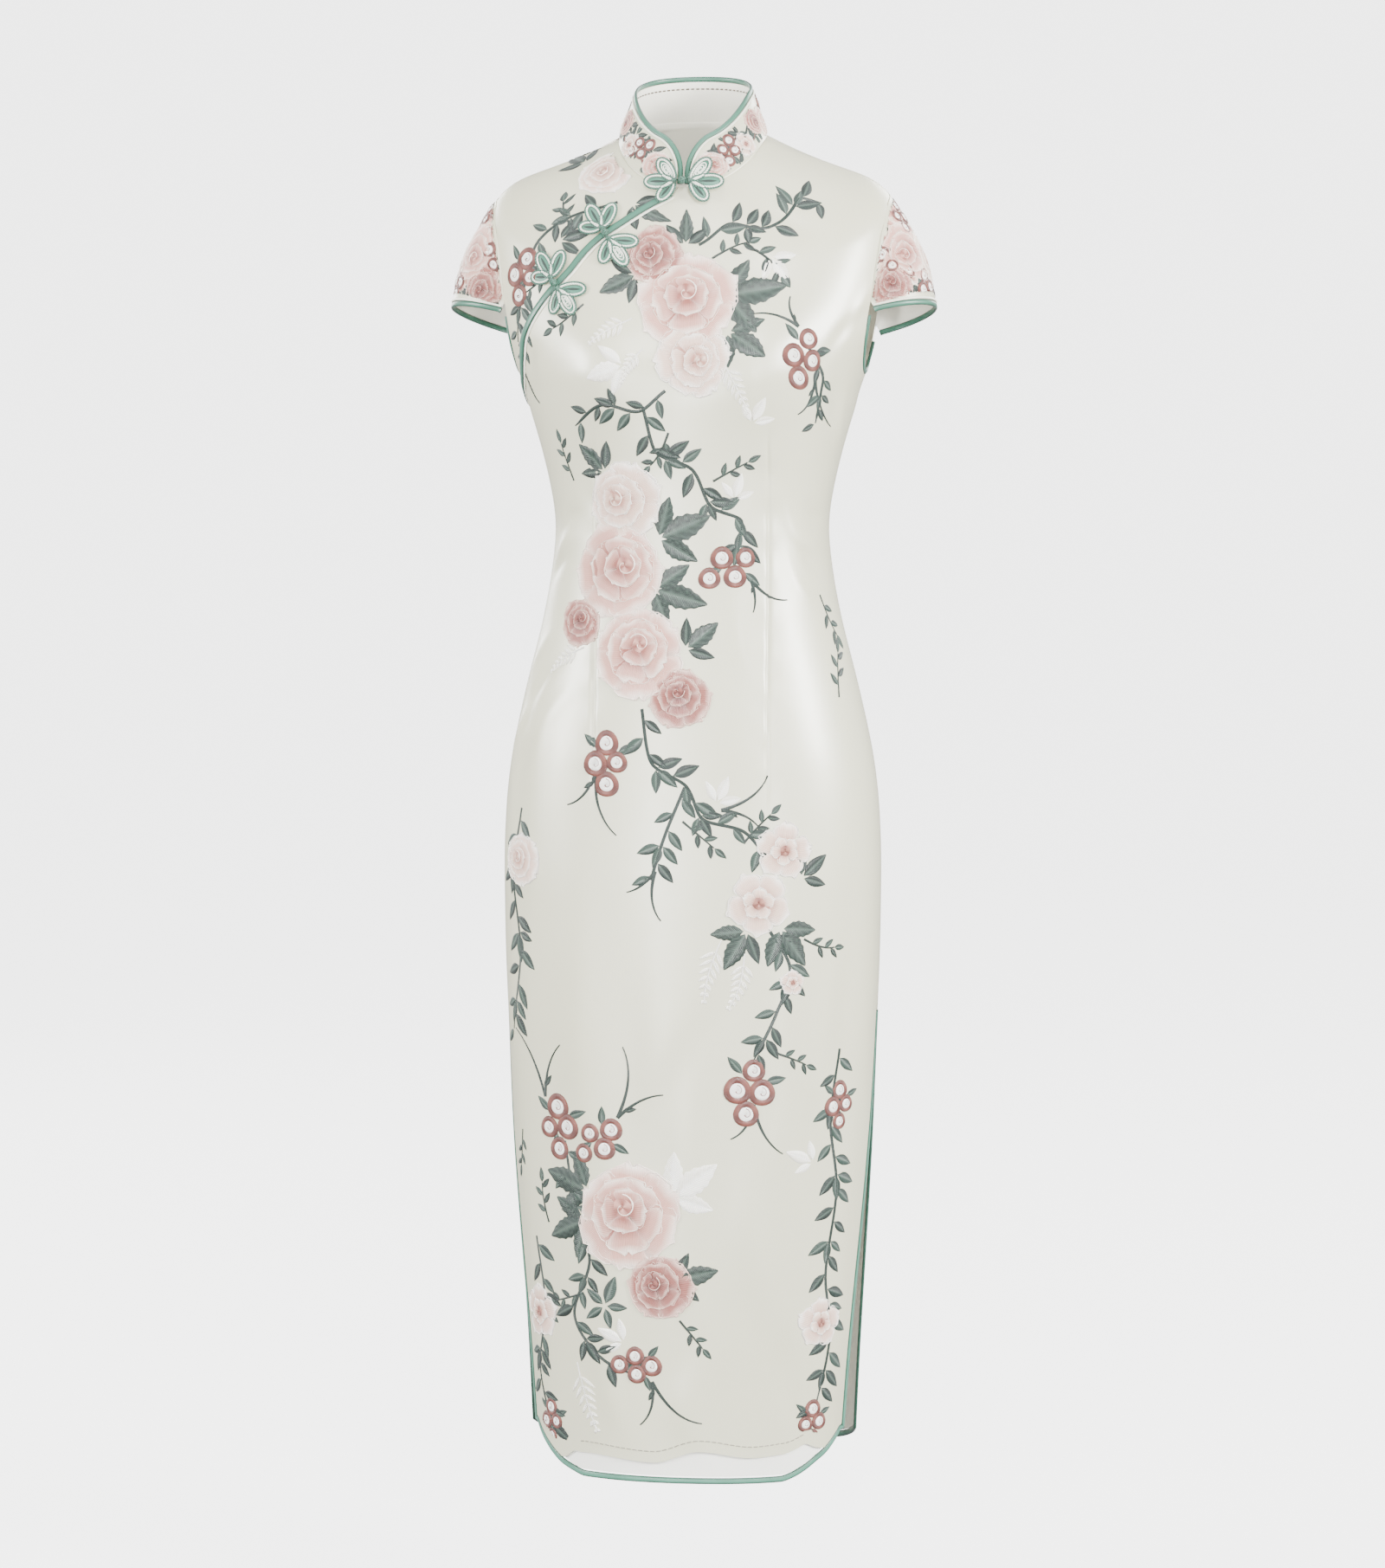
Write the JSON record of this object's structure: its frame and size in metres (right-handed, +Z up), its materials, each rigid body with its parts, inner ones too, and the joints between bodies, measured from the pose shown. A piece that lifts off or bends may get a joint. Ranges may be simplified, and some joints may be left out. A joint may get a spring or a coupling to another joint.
{
  "type": "cheongsam dress in worn form",
  "caption": "Fitted cap-sleeved cheongsam with standing collar, slanting side opening, frog buttons, side slits and bound edges, hollow as worn.",
  "frame": {"origin": "midway between the two points where the shoulder seams meet the collar, where the wearer's shoulders hold the dress", "axes": "+Z up the wearer, +X to the wearer's left, -Y towards the front of the dress"},
  "size_m": [0.4346, 0.2364, 1.2477],
  "materials": {
    "ivory_satin": "satin",
    "plain_lining": "matte",
    "mint_binding": "satin",
    "mint_cord": "satin"
  },
  "bodies": {
    "root": {"front_panel_bodice": "ivory_satin", "front_panel_hips": "ivory_satin", "front_panel_skirt": "ivory_satin", "back_panel_bodice": "ivory_satin", "back_panel_hips": "ivory_satin", "back_panel_skirt": "ivory_satin", "chest_underlap": "ivory_satin", "sleeve_left": "ivory_satin", "sleeve_right": "ivory_satin", "collar": "ivory_satin", "front_hem_band": "plain_lining", "front_binding": "mint_binding", "back_binding": "mint_binding", "opening_binding": "mint_binding", "collar_binding": "mint_binding", "sleeve_binding_left": "mint_binding", "sleeve_binding_right": "mint_binding", "armhole_binding_left": "mint_binding", "armhole_binding_right": "mint_binding", "neck_frog_left_scroll": "mint_cord", "neck_frog_right_scroll": "mint_cord", "neck_frog_knot": "mint_cord", "chest_frog_lower_scroll": "mint_cord", "chest_frog_upper_scroll": "mint_cord", "chest_frog_knot": "mint_cord", "side_frog_lower_scroll": "mint_cord", "side_frog_upper_scroll": "mint_cord", "side_frog_knot": "mint_cord"}
  },
  "joints": []
}
